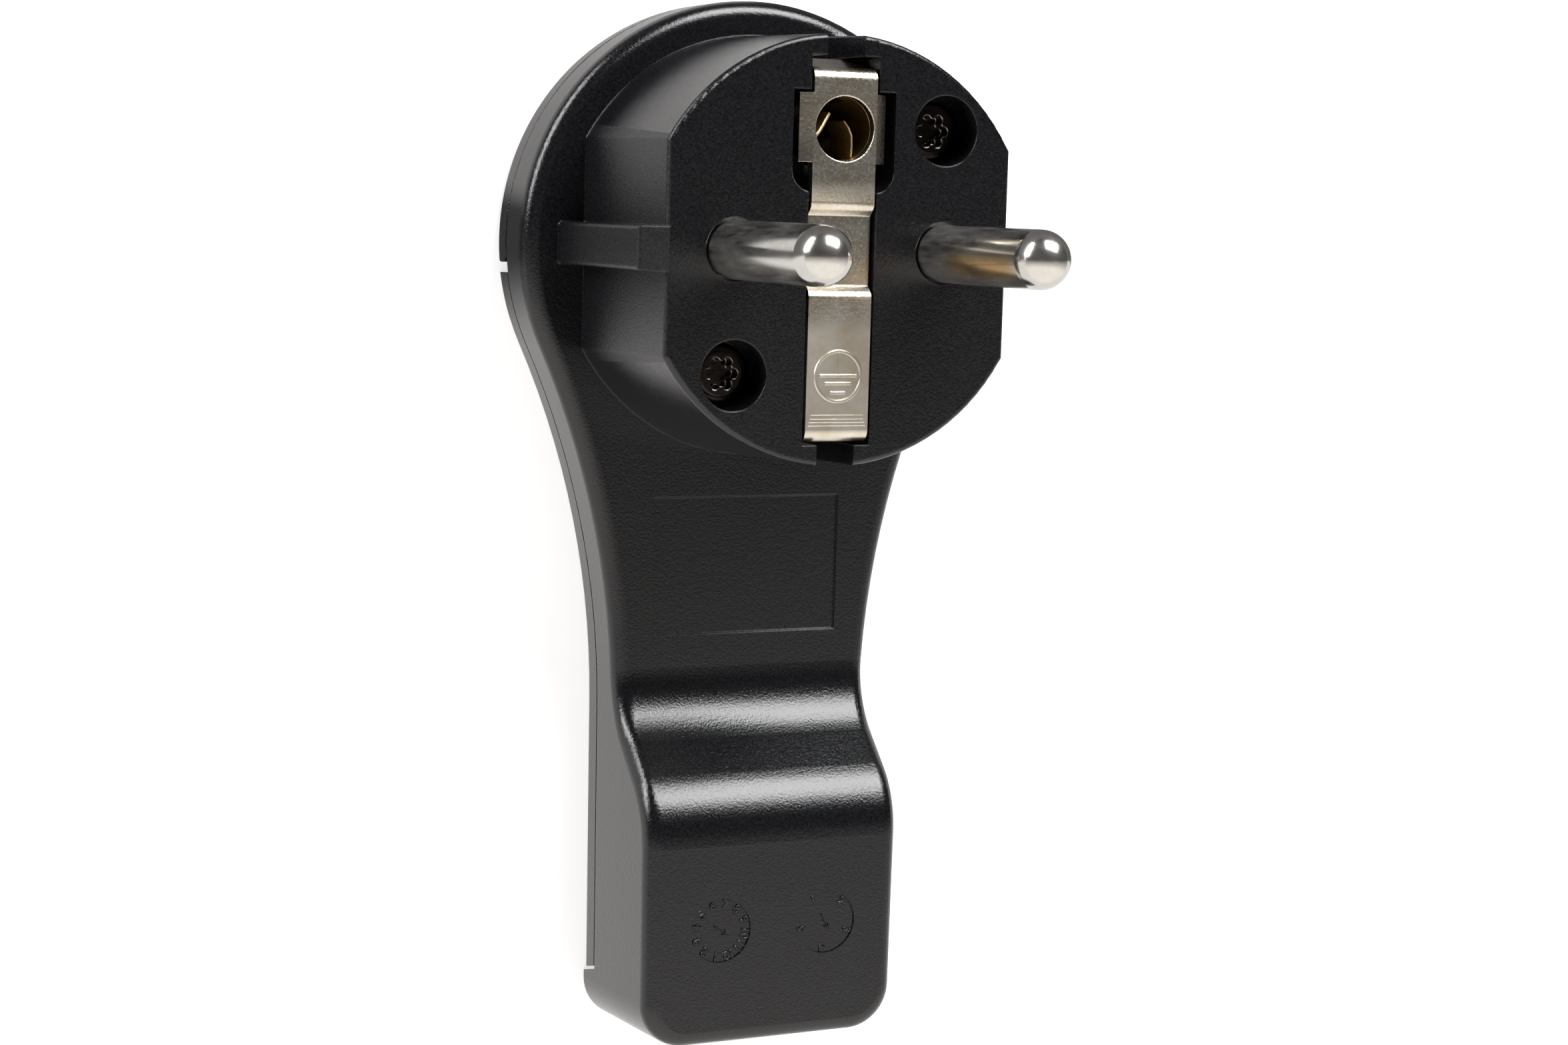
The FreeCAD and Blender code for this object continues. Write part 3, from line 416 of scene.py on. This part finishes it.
# The third colour of each is the lighter edge colour: painted glints and wear.
blackened_steel = screw_metal("oil_blackened_steel", "443c38", "26201d", "e2dcd6", 0.12, 0.20, 0.9, 0.04)
zinc_steel = screw_metal("zinc_plated_steel", "b9bdc2", "9aa0a6", "c4c8cc", 0.28, 0.42, 0.5, 0.002)
turned_brass = screw_metal("turned_brass", "d0b070", "b89455", "f0dcae", 0.30, 0.42, 0.4, 0.002)
spring_bronze = screw_metal("tinned_spring_bronze", "c2b190", "9c8864", "d8ccb0", 0.38, 0.50, 0.4, 0.002)
print("made", blackened_steel.name, zinc_steel.name, turned_brass.name, spring_bronze.name)

# %% [markdown]
# Each solid of the frame takes the finish that its material slot in the record asks for.
# The finishes could be handed out by the names of the solids. The record already says
# which solid is made of what, so its list is read instead.

# %% Give every solid its finish
FINISHES = {
    "black_plastic": black_plastic,
    "carrier_plastic": carrier_plastic,
    "nickel_plated_brass": pin_nickel,
    "nickel_plated_strip": strip_nickel,
    "blackened_steel": blackened_steel,
    "zinc_plated_steel": zinc_steel,
    "brass": turned_brass,
}

for subpart in frame["record"]["subparts"]:
    solid = nodes[subpart["node"]]
    solid.data.materials.clear()
    solid.data.materials.append(FINISHES[subpart["material_slot"]])
    print(subpart["node"], "is", solid.data.materials[0].name)

# %% [markdown]
# Raised lines on the metal and the plastic are all made one way: a flat foot is drawn,
# raised, and drawn in a little at the top, as a line cut in a tool comes out. They could
# be drawn in the shading alone, but a real flank catches the lamp from any side. The foot
# stands slightly below the surface, so that no gap shows.

# %% Helpers for raised marks
FOOT_SINK = 0.02 * MM
TOP_WIDTH = 0.45
END_DRAW_IN = 0.35
RING_CORNERS = 72


def deselect():
    """Go to object mode, with nothing selected."""
    if bpy.context.mode != "OBJECT":
        bpy.ops.object.mode_set(mode="OBJECT")
    bpy.ops.object.select_all(action="DESELECT")


def settle(piece):
    """Move the piece's place into its mesh."""
    deselect()
    piece.select_set(True)
    bpy.context.view_layer.objects.active = piece
    bpy.ops.object.transform_apply(location=True, rotation=True, scale=True)


def joined(pieces, name):
    """One object from several."""
    deselect()
    for piece in pieces:
        piece.select_set(True)
    bpy.context.view_layer.objects.active = pieces[0]
    bpy.ops.object.join()
    result = bpy.context.view_layer.objects.active
    result.name = name
    result.data.name = name
    return result


def raised_bar(x, y, z, length, width, height, turn=0.0):
    """A straight raised line, centred at x and y on the surface z."""
    deselect()
    bpy.ops.mesh.primitive_plane_add(size=1.0, location=(0, 0, 0))
    bar = bpy.context.object
    bpy.ops.object.mode_set(mode="EDIT")
    bpy.ops.transform.resize(value=(length, width, 1.0), center_override=(0, 0, 0))
    bpy.ops.mesh.extrude_region_move(TRANSFORM_OT_translate={"value": (0, 0, FOOT_SINK + height)})
    top_length = 1.0 - END_DRAW_IN * width / length
    bpy.ops.transform.resize(
        value=(top_length, TOP_WIDTH, 1.0), center_override=(0, 0, FOOT_SINK + height))
    bpy.ops.object.mode_set(mode="OBJECT")
    bar.rotation_euler = (0, 0, turn)
    bar.location = (x, y, z - FOOT_SINK)
    settle(bar)
    return bar


def raised_ring(x, y, z, radius, width, height):
    """A round raised line with a flat foot."""
    deselect()
    bpy.ops.mesh.primitive_circle_add(
        vertices=RING_CORNERS, radius=radius + width / 2, location=(0, 0, 0))
    ring = bpy.context.object
    bpy.ops.object.mode_set(mode="EDIT")
    bpy.ops.mesh.select_all(action="SELECT")
    steps = (
        (FOOT_SINK + height, radius + width / 4, radius + width / 2),
        (0.0, radius - width / 4, radius + width / 4),
        (-FOOT_SINK - height, radius - width / 2, radius - width / 4),
    )
    for rise, new_radius, old_radius in steps:
        bpy.ops.mesh.extrude_region_move(TRANSFORM_OT_translate={"value": (0, 0, rise)})
        factor = new_radius / old_radius
        bpy.ops.transform.resize(value=(factor, factor, 1.0), center_override=(0, 0, 0))
    bpy.ops.mesh.select_all(action="DESELECT")
    bpy.ops.mesh.select_non_manifold()
    bpy.ops.mesh.bridge_edge_loops()
    bpy.ops.mesh.select_all(action="SELECT")
    bpy.ops.mesh.normals_make_consistent(inside=False)
    bpy.ops.object.mode_set(mode="OBJECT")
    ring.location = (x, y, z - FOOT_SINK)
    settle(ring)
    return ring


def finish_piece(piece, material, body):
    """Give the piece its material and its body."""
    piece.data.materials.clear()
    piece.data.materials.append(material)
    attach(piece, body)
    print(piece.name, "has", len(piece.data.polygons), "faces")


# %% [markdown]
# The press that bends the earth strip also stamps the sign for protective earth on its
# lower half: a ring, a stem from its top, and three bars that get shorter downwards. The
# stem is cut finer than the rest. Each bar is given by how far it lies above the middle
# of the sign, and by its length, in millimetres.

# %% Earth sign on the strip
strip_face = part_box("earth_strip")[1].z
SIGN_X = 0.0
SIGN_Y = -10.3 * MM
SIGN_R = 2.09 * MM
LINE_WIDTH = 0.35 * MM
LINE_HEIGHT = 0.09 * MM
STEM_WIDTH = 0.14 * MM
STEM_HEIGHT = 0.063 * MM
BARS = ((0.05, 3.5), (-0.6, 2.5), (-1.38, 1.45))

marks = [raised_ring(SIGN_X, SIGN_Y, strip_face, SIGN_R, LINE_WIDTH, LINE_HEIGHT)]
for offset, length in BARS:
    marks.append(raised_bar(
        SIGN_X, SIGN_Y + offset * MM, strip_face, length * MM, LINE_WIDTH, LINE_HEIGHT))
stem_foot = BARS[0][0] * MM
stem_length = SIGN_R - stem_foot
marks.append(raised_bar(
    SIGN_X, SIGN_Y + stem_foot + stem_length / 2, strip_face,
    stem_length, STEM_WIDTH, STEM_HEIGHT, math.pi / 2))
earth_sign = joined(marks, "earth_sign")
finish_piece(earth_sign, strip_nickel, "plug_body")

# %% [markdown]
# Under the sign the bending edge of the tool left four very fine lines across the strip.
# Each is given by its place along the strip and its length, in millimetres.

# %% Tool lines across the strip
TOOL_LINES = ((-13.53, 4.8), (-13.87, 5.0), (-14.15, 5.2), (-14.43, 5.3))
TOOL_LINE_WIDTH = 0.08 * MM
TOOL_LINE_HEIGHT = 0.015 * MM

lines = []
for y, length in TOOL_LINES:
    lines.append(raised_bar(
        SIGN_X, y * MM, strip_face, length * MM, TOOL_LINE_WIDTH, TOOL_LINE_HEIGHT))
tool_lines = joined(lines, "strip_tool_lines")
finish_piece(tool_lines, strip_nickel, "plug_body")

# %% [markdown]
# Behind the hole of the strip sits a spring socket. Two leaves of bronze sheet reach into
# its bore and pinch the earth pin of a wall socket. Only their cut upper edges catch the
# lamp, as two thin bright lines in the dark hole. A leaf could be cut out of a tube, but
# its curve is free. So each leaf starts as one point, which is extruded along a path and
# then downwards to a ribbon. The ribbon gets the thickness of the sheet and a small round
# on its edges.

# %% Spring leaves in the earth hole
EARTH_Y = 10.1 * MM
LEAF_DROP = 4.0 * MM
LEFT_SHEET = 0.26 * MM
RIGHT_SHEET = 0.17 * MM
LEAF_ROUND = 0.05 * MM
LEAF_ROUND_STEPS = 3
LEAF_SMOOTH = math.radians(40)
LEFT_LEAF = (
    (-2.47, -0.72, 0.5), (-2.05, -0.27, 0.6), (-1.62, 0.22, 0.9),
    (-1.20, 0.78, 1.15), (-0.78, 1.30, 1.4))
RIGHT_LEAF = (
    (1.18, -2.32, 1.30), (1.30, -1.50, 1.40), (1.32, -0.50, 1.55),
    (1.17, 0.12, 1.80), (0.85, 0.72, 2.10))


def spring_leaf(path, thickness):
    """A sheet that hangs from a path of x, y and depth under the face of the strip, in mm."""
    points = [Vector((x * MM, EARTH_Y + y * MM, strip_face - depth * MM)) for x, y, depth in path]
    deselect()
    bpy.ops.mesh.primitive_plane_add(size=MM, location=(0, 0, 0))
    leaf = bpy.context.object
    bpy.ops.object.mode_set(mode="EDIT")
    bpy.ops.mesh.select_all(action="SELECT")
    bpy.ops.mesh.merge(type="CENTER")
    bpy.ops.transform.translate(value=points[0])
    for here, there in zip(points, points[1:]):
        bpy.ops.mesh.extrude_vertices_move(TRANSFORM_OT_translate={"value": there - here})
    bpy.ops.mesh.select_all(action="SELECT")
    bpy.ops.mesh.extrude_region_move(TRANSFORM_OT_translate={"value": (0, 0, -LEAF_DROP)})
    bpy.ops.mesh.select_all(action="SELECT")
    bpy.ops.mesh.normals_make_consistent(inside=False)
    bpy.ops.object.mode_set(mode="OBJECT")
    sheet = leaf.modifiers.new("sheet", "SOLIDIFY")
    sheet.thickness = thickness
    sheet.offset = 0.0
    edge = leaf.modifiers.new("edge", "BEVEL")
    edge.width = LEAF_ROUND
    edge.segments = LEAF_ROUND_STEPS
    edge.limit_method = "ANGLE"
    bpy.ops.object.modifier_apply(modifier="sheet")
    bpy.ops.object.modifier_apply(modifier="edge")
    bpy.ops.object.shade_smooth_by_angle(angle=LEAF_SMOOTH)
    return leaf


leaves = [spring_leaf(LEFT_LEAF, LEFT_SHEET), spring_leaf(RIGHT_LEAF, RIGHT_SHEET)]
earth_leaves = joined(leaves, "earth_spring_leaves")
# Its finish paints the edges of the leaves lighter too, as painted glints and wear.
finish_piece(earth_leaves, spring_bronze, "plug_body")

# %% [markdown]
# Two round inserts in the tool leave a mark on the cable block. One is a dial of the
# twelve months with an arrow, the other has five plain numbers and an arrow. The
# numbers stand up from the sunk floor of each mark by about a seventh of a millimetre.
# A numeral could be built from raised lines, but curves are hard to set by hand. Text
# that is turned into a mesh gives clean plain numerals at any size.

# %% Helpers for the dials
CAPITAL_SHARE = 0.7
NUMERAL_HALF_RISE = 0.08 * MM
NUMERAL_EDGE = 0.06 * MM
NUMERAL_FLATTEN = 0.75
NUMERAL_LIFT = 0.04 * MM
NUMERAL_CURVE_STEPS = 2
ARROW_LENGTH = 1.5 * MM
ARROW_WIDTH = 0.18 * MM
ARROW_HEIGHT = 0.14 * MM
BARB_LENGTH = 0.55 * MM
BARB_WIDTH = 0.16 * MM
BARB_REACH = 0.22 * MM
BARB_TURN = math.radians(150)


def raised_numeral(text, x, y, z, height, turn):
    """A plain number that stands up from the surface."""
    deselect()
    bpy.ops.object.text_add(location=(0, 0, 0))
    numeral = bpy.context.object
    numeral.data.body = text
    numeral.data.size = height / CAPITAL_SHARE
    numeral.data.align_x = "CENTER"
    numeral.data.align_y = "CENTER"
    numeral.data.extrude = NUMERAL_HALF_RISE
    numeral.data.bevel_depth = NUMERAL_EDGE
    numeral.data.bevel_resolution = 0
    numeral.data.resolution_u = NUMERAL_CURVE_STEPS
    bpy.ops.object.convert(target="MESH")
    numeral = bpy.context.object
    numeral.scale = (1.0, 1.0, NUMERAL_FLATTEN)
    numeral.rotation_euler = (0, 0, turn)
    numeral.location = (x, y, z + NUMERAL_LIFT)
    settle(numeral)
    return numeral


def dial(name, centre_x, centre_y, floor_z, numbers, first_turn, ring_r, size, arrow_turn):
    """Numbers round a circle with an arrow in the middle."""
    parts = []
    for index, number in enumerate(numbers):
        turn = first_turn - 2 * math.pi * index / len(numbers)
        x = centre_x + ring_r * math.cos(turn)
        y = centre_y + ring_r * math.sin(turn)
        parts.append(raised_numeral(str(number), x, y, floor_z, size, turn - math.pi / 2))
    parts.append(raised_bar(
        centre_x, centre_y, floor_z, ARROW_LENGTH, ARROW_WIDTH, ARROW_HEIGHT, arrow_turn))
    tip_x = centre_x + ARROW_LENGTH / 2 * math.cos(arrow_turn)
    tip_y = centre_y + ARROW_LENGTH / 2 * math.sin(arrow_turn)
    for side in (-1, 1):
        barb_turn = arrow_turn + side * BARB_TURN
        x = tip_x + BARB_REACH * math.cos(barb_turn)
        y = tip_y + BARB_REACH * math.sin(barb_turn)
        parts.append(raised_bar(x, y, floor_z, BARB_LENGTH, BARB_WIDTH, ARROW_HEIGHT, barb_turn))
    return joined(parts, name)


# %% Make the two dials
BLOCK_Z = 15.7 * MM
MARK_DEPTH = 0.15 * MM
DIAL_Y = -59.7 * MM
DIAL_X = 5.05 * MM
DIAL_FLOOR = BLOCK_Z - MARK_DEPTH
NUMERAL_RING = 2.35 * MM
MONTHS = range(1, 13)
MONTH_SIZE = 0.78 * MM
FIRST_MONTH_TURN = math.radians(-100)
MONTH_ARROW_TURN = math.radians(-35)
NUMBERS = range(1, 6)
NUMBER_SIZE = 0.70 * MM
FIRST_NUMBER_TURN = math.radians(120)
NUMBER_ARROW_TURN = math.radians(-62)

month_dial = dial(
    "month_dial", -DIAL_X, DIAL_Y, DIAL_FLOOR, MONTHS, FIRST_MONTH_TURN,
    NUMERAL_RING, MONTH_SIZE, MONTH_ARROW_TURN)
finish_piece(month_dial, black_plastic, "plug_body")
number_dial = dial(
    "number_dial", DIAL_X, DIAL_Y, DIAL_FLOOR, NUMBERS, FIRST_NUMBER_TURN,
    NUMERAL_RING, NUMBER_SIZE, NUMBER_ARROW_TURN)
finish_piece(number_dial, black_plastic, "plug_body")

# %% [markdown]
# The plug lies on a plain white floor. The floor is lit like any surface, so it keeps
# the plug's soft shadow. A little white of its own, seen only directly, lifts it to the
# white of the backdrop. In the shine of the plug the floor shows what lies on a studio
# table: white paper at the foot end and to the upper left, where the flange shades the
# part next to it, and dark between and beyond them. The sheets could be objects of their
# own, but the camera would see them, so they are drawn for mirror rays only. From below
# the floor isn't there, so that the back of the plug can be seen.

# %% Floor
FLOOR_SIZE = 8.0
FLOOR_GAP = 0.02 * MM
FLOOR_OWN_WHITE = 0.65
WHITE = (1.0, 1.0, 1.0, 1.0)
PAPER_TINT = (1.0, 0.98, 0.96, 1.0)
FIBRE_MM = 2.5
PAPER_SHINE = 1.05
SHADED_SHINE = 0.8
TABLE_SHINE = 0.15
FOOT_PAPER_Y = (-1.0 * MM, -10.0 * MM)
CORNER_Y = (2.0 * MM, 6.0 * MM)
CORNER_X = (7.0 * MM, 1.0 * MM)
CORNER_SHADE_R = (25.2 * MM, 26.5 * MM)
CORNER_END_R = (31.0 * MM, 36.0 * MM)

deselect()
bpy.ops.mesh.primitive_plane_add(size=FLOOR_SIZE, location=(0, 0, cad_low.z - FLOOR_GAP))
floor = bpy.context.object
floor.name = "floor"


def floor_material():
    """Matt white, with sheets of paper on a dark table in its mirror image."""
    material, tree, place = new_material("matt_white_paper")
    fibre = add_node(tree, "ShaderNodeTexNoise", {
        "Vector": place, "Scale": cycles_per_metre(FIBRE_MM), "Detail": 2.0})
    colour = add_node(tree, "ShaderNodeMix", {
        "Factor": fibre, "A": linear("dddddd"), "B": linear("e4e4e4")}, data_type="RGBA")
    matt = add_node(tree, "ShaderNodeBsdfDiffuse", {"Color": colour})
    path = add_node(tree, "ShaderNodeLightPath", {})
    seen = add_node(tree, "ShaderNodeMath", {
        0: path.outputs["Is Camera Ray"], 1: FLOOR_OWN_WHITE}, operation="MULTIPLY")
    own_white = add_node(tree, "ShaderNodeEmission", {"Color": WHITE, "Strength": seen})
    lit = add_node(tree, "ShaderNodeAddShader", {0: matt, 1: own_white})

    parts = add_node(tree, "ShaderNodeSeparateXYZ", {"Vector": place})
    across, along = parts.outputs["X"], parts.outputs["Y"]
    from_head = add_node(tree, "ShaderNodeVectorMath", {0: place}, operation="LENGTH")
    foot_paper = add_node(tree, "ShaderNodeMapRange", {
        "Value": along, "From Min": FOOT_PAPER_Y[0], "From Max": FOOT_PAPER_Y[1],
        "To Min": TABLE_SHINE, "To Max": PAPER_SHINE}, interpolation_type="SMOOTHSTEP")
    head_side = add_node(tree, "ShaderNodeMapRange", {
        "Value": along, "From Min": CORNER_Y[0],
        "From Max": CORNER_Y[1]}, interpolation_type="SMOOTHSTEP")
    left_side = add_node(tree, "ShaderNodeMapRange", {
        "Value": across, "From Min": CORNER_X[0],
        "From Max": CORNER_X[1]}, interpolation_type="SMOOTHSTEP")
    shade = add_node(tree, "ShaderNodeMapRange", {
        "Value": from_head, "From Min": CORNER_SHADE_R[0], "From Max": CORNER_SHADE_R[1],
        "To Min": SHADED_SHINE, "To Max": PAPER_SHINE}, interpolation_type="SMOOTHSTEP")
    end = add_node(tree, "ShaderNodeMapRange", {
        "Value": from_head, "From Min": CORNER_END_R[0], "From Max": CORNER_END_R[1],
        "To Min": 1.0, "To Max": 0.0}, interpolation_type="SMOOTHSTEP")
    corner_paper = head_side
    for factor in (left_side, shade, end):
        corner_paper = add_node(tree, "ShaderNodeMath", {
            0: corner_paper, 1: factor}, operation="MULTIPLY")
    shine = add_node(tree, "ShaderNodeMath", {0: foot_paper, 1: corner_paper}, operation="MAXIMUM")
    mirrored = add_node(tree, "ShaderNodeEmission", {"Color": PAPER_TINT, "Strength": shine})

    by_mirror = add_node(tree, "ShaderNodeMath", {
        0: path.outputs["Is Glossy Ray"], 1: path.outputs["Is Transmission Ray"]}, operation="MAXIMUM")
    by_ray = add_node(tree, "ShaderNodeMixShader", {0: by_mirror, 1: lit, 2: mirrored})
    surface = add_node(tree, "ShaderNodeNewGeometry", {})
    clear = add_node(tree, "ShaderNodeBsdfTransparent", {})
    sided = add_node(tree, "ShaderNodeMixShader", {
        0: surface.outputs["Backfacing"], 1: by_ray, 2: clear})
    add_node(tree, "ShaderNodeOutputMaterial", {"Surface": sided})
    return material


floor.data.materials.append(floor_material())
print("floor at", round(floor.location.z, 6))

# %% [markdown]
# The room is a photo studio that is dark at the head end and overhead. Towards the foot
# end its wall gets pale, first with a low step overhead and then more and more. Walls
# could be built round the plug. The world's light does the same with no walls in the way:
# the direction of a ray decides what it meets, and a viewer who looks past the floor
# sees plain white.

# %% Room
ROOM_TINT = (1.0, 0.96, 0.91, 1.0)
ROOM_DARK = 0.065
CEILING_STEP = 0.34
CEILING_EDGE = (-0.03, -0.09)
WALL_LEVEL = 1.25
WALL_EDGE = -0.45


def studio_room():
    """World light: dark at the head end, pale at the foot end."""
    world = bpy.data.worlds.new("studio_room")
    bpy.context.scene.world = world
    world.use_nodes = True
    tree = world.node_tree
    tree.nodes.clear()
    way = add_node(tree, "ShaderNodeTexCoord", {}).outputs["Generated"]
    foot_way = add_node(tree, "ShaderNodeSeparateXYZ", {"Vector": way}).outputs["Y"]
    step = add_node(tree, "ShaderNodeMapRange", {
        "Value": foot_way, "From Min": CEILING_EDGE[0], "From Max": CEILING_EDGE[1],
        "To Min": ROOM_DARK, "To Max": CEILING_STEP}, interpolation_type="SMOOTHSTEP")
    wall = add_node(tree, "ShaderNodeMapRange", {
        "Value": foot_way, "From Min": CEILING_EDGE[1], "From Max": WALL_EDGE,
        "To Max": WALL_LEVEL - CEILING_STEP})
    level = add_node(tree, "ShaderNodeMath", {0: step, 1: wall}, operation="ADD")
    room = add_node(tree, "ShaderNodeBackground", {"Color": ROOM_TINT, "Strength": level})
    white = add_node(tree, "ShaderNodeBackground", {"Color": WHITE, "Strength": 1.0})
    path = add_node(tree, "ShaderNodeLightPath", {})
    mixed = add_node(tree, "ShaderNodeMixShader", {
        0: path.outputs["Is Camera Ray"], 1: room, 2: white})
    add_node(tree, "ShaderNodeOutputWorld", {"Surface": mixed})


studio_room()
print("room made")

# %% [markdown]
# Three soft lamps stand in that room. The large one hangs beyond the head, a little to
# the right, and gives the bright bands on the step and the rims. The small weak one
# stands on the left and lights the left of the round pin tips. A low strip light next
# to it draws the bright line along the rim of the flange. Each is given by its direction
# from the plug, its distance, its width and height, and how white its cloth looks.

# %% Lamps
LAMPS = (
    ("head_end_softbox", (0.36, 0.78, 0.60), 0.60, 0.40, 0.32, 12.5),
    ("left_softbox", (-0.84, 0.50, 0.20), 0.50, 0.30, 0.16, 3.0),
    ("low_left_strip_light", (-0.80, 0.59, 0.11), 0.50, 0.45, 0.10, 12.0),
)


def soft_lamp(name, towards, distance, width, height, brightness):
    """A soft box that faces the plug."""
    light = bpy.data.lights.new(name, "AREA")
    light.shape = "RECTANGLE"
    light.size = width
    light.size_y = height
    light.energy = brightness * math.pi * width * height
    lamp = bpy.data.objects.new(name, light)
    bpy.context.scene.collection.objects.link(lamp)
    way = Vector(towards).normalized()
    lamp.location = way * distance
    lamp.rotation_mode = "QUATERNION"
    lamp.rotation_quaternion = way.to_track_quat("Z", "Y")
    lamp.visible_camera = False
    print(name, "at", [round(value, 3) for value in lamp.location], round(light.energy, 2), "W")


for lamp_values in LAMPS:
    soft_lamp(*lamp_values)

# %% [markdown]
# The camera looks down on the lying plug from its left and close by. Its place, its way
# and its lens were worked out from the edges of the real plug in its photograph, so that
# the two pictures can be laid over each other.

# %% Camera
CAMERA_PLACE = Vector((-0.09727, 0.00385, 0.23043))
CAMERA_WAY = Vector((0.4096, -0.1161, -0.9049))
CAMERA_UP = Vector((0.0224, 0.9929, -0.1172))
LENS_MM = 62.64
SENSOR_MM = 36.0
NEAREST = 0.01

camera_data = bpy.data.cameras.new("camera")
camera_data.lens = LENS_MM
camera_data.sensor_width = SENSOR_MM
camera_data.clip_start = NEAREST
camera = bpy.data.objects.new("camera", camera_data)
bpy.context.scene.collection.objects.link(camera)
back = -CAMERA_WAY.normalized()
right = CAMERA_UP.cross(back).normalized()
up = back.cross(right)
turn = Matrix((right, up, back)).transposed()
camera.matrix_world = Matrix.Translation(CAMERA_PLACE) @ turn.to_4x4()
bpy.context.scene.camera = camera
bpy.context.scene.view_settings.view_transform = "Standard"
print("camera at", [round(value, 4) for value in camera.location])
